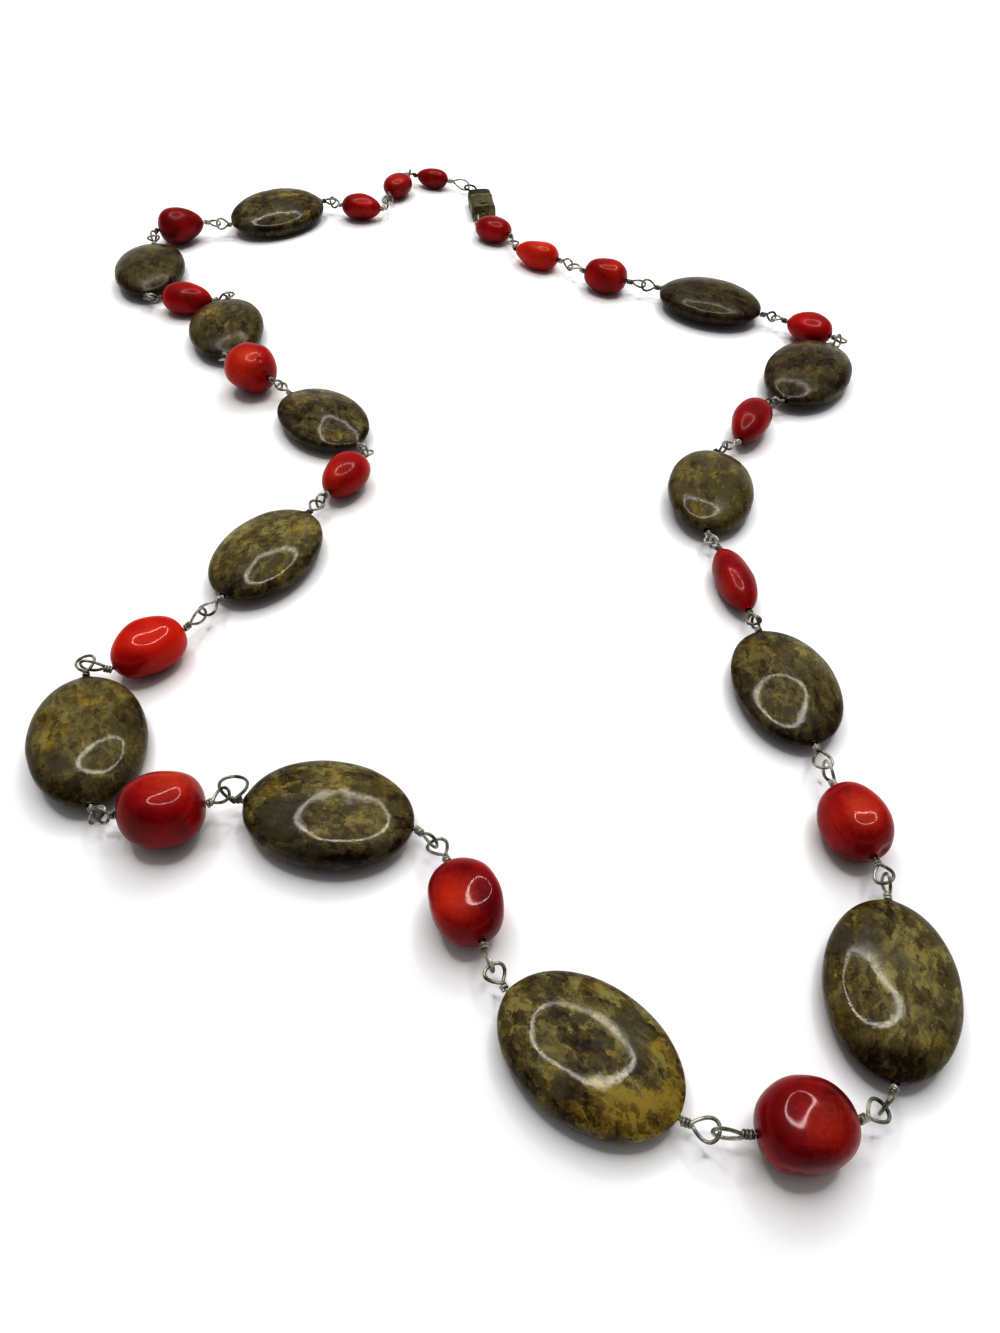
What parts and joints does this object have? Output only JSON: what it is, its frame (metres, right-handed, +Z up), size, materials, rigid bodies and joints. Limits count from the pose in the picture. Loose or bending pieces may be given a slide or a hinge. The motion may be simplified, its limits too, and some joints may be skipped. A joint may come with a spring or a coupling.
{
  "type": "coral and brown stone bead necklace",
  "caption": "Long wire-linked bead necklace of red coral nuggets and puffed oval brown stones, with a small box clasp.",
  "frame": {"origin": "middle of the necklace as it lies, on the surface under it", "axes": "+X to the right, +Y to the back where the clasp is, +Z up; the ring of beads is longest along Y"},
  "size_m": [0.2057, 0.3128, 0.012],
  "materials": {
    "stone": "polished brown and gold mottled",
    "coral": "polished red",
    "wire": "tarnished silver",
    "clasp": "antique",
    "clasp_tongue": "dark antique"
  },
  "bodies": {
    "root": {"stone_01": "stone", "stone_02": "stone", "stone_03": "stone", "stone_04": "stone", "stone_05": "stone", "stone_06": "stone", "stone_07": "stone", "stone_08": "stone", "stone_09": "stone", "stone_10": "stone", "stone_11": "stone", "stone_12": "stone", "stone_13": "stone", "coral_01": "coral", "coral_02": "coral", "coral_03": "coral", "coral_04": "coral", "coral_05": "coral", "coral_06": "coral", "coral_07": "coral", "coral_08": "coral", "coral_09": "coral", "coral_10": "coral", "coral_11": "coral", "coral_12": "coral", "coral_13": "coral", "coral_14": "coral", "coral_15": "coral", "coral_16": "coral", "coral_17": "coral", "coral_18": "coral", "wires_of_stones": "wire", "wires_of_corals": "wire", "clasp_box": "clasp", "clasp_tongue": "clasp_tongue"}
  },
  "joints": []
}
